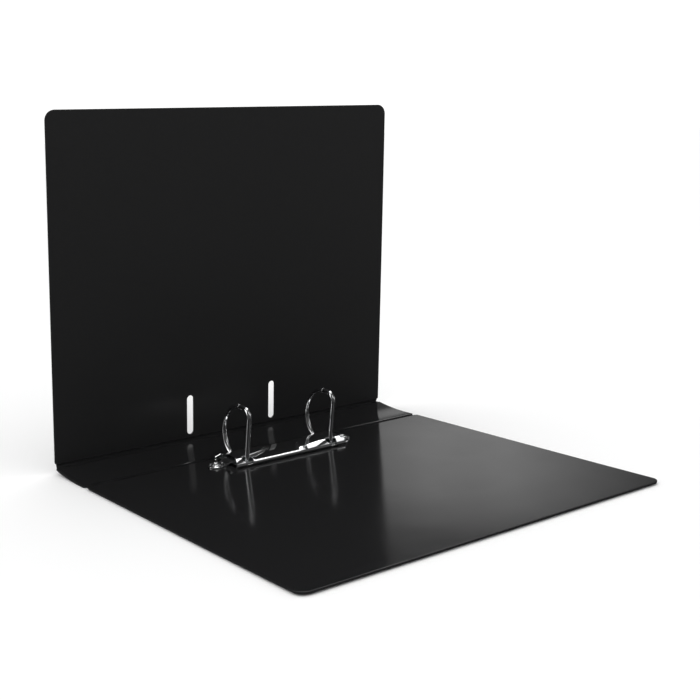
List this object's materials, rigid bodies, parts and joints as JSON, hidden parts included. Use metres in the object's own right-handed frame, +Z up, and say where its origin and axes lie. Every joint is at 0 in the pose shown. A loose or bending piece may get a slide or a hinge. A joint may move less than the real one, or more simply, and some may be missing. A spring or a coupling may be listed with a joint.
{
  "type": "ring binder",
  "caption": "Ring binder with a stiff plastic cover on two living hinges, lock slots in the front cover, and a sprung steel mechanism with D-shaped rings.",
  "frame": {"origin": "middle of the footprint, on the table under the back cover", "axes": "+X from the spine towards the free edge of the back cover, +Y along the spine, +Z up from the table"},
  "size_m": [0.326, 0.318, 0.2759],
  "materials": {
    "cover_sheet": "black polypropylene sheet with a very fine grain and a soft gloss",
    "chrome_plate": "bright nickel and chrome plate on stamped steel and drawn wire",
    "zinc_plate": "plain zinc plate"
  },
  "bodies": {
    "back": {"back_cover": "cover_sheet", "back_crease": "cover_sheet", "ring_housing": "chrome_plate", "near_rivet": "chrome_plate", "far_rivet": "chrome_plate", "near_rivet_cap": "zinc_plate", "far_rivet_cap": "zinc_plate"},
    "spine": {"spine_panel": "cover_sheet", "front_crease": "cover_sheet"},
    "front": {"front_cover": "cover_sheet"},
    "spine_side_rings": {"spine_side_rail": "zinc_plate", "near_round_half_ring": "chrome_plate", "far_round_half_ring": "chrome_plate"},
    "cover_side_rings": {"cover_side_rail": "zinc_plate", "near_straight_half_ring": "chrome_plate", "far_straight_half_ring": "chrome_plate"}
  },
  "joints": [
    {"name": "spine_hinge", "type": "hinge", "parent": "back", "child": "spine", "pos_m": [-0.10905, 0, 0.001], "axis": [0, 1, 0], "range_deg": [0, 78.5]},
    {"name": "front_hinge", "type": "hinge", "parent": "spine", "child": "front", "pos_m": [-0.16195, 0, 0.00424], "axis": [0, 1, 0], "range_deg": [-94, 7]},
    {"name": "cover_side_rings_open", "type": "hinge", "parent": "back", "child": "cover_side_rings", "pos_m": [-0.07345, 0, 0.0039], "axis": [0, 1, 0], "range_deg": [0, 8]},
    {"name": "spine_side_rings_open", "type": "hinge", "parent": "back", "child": "spine_side_rings", "pos_m": [-0.10065, 0, 0.0039], "axis": [0, 1, 0], "range_deg": [-8, 0]}
  ],
  "couplings": [
    {"joint": "spine_side_rings_open", "follows": "cover_side_rings_open", "ratio": -1}
  ]
}
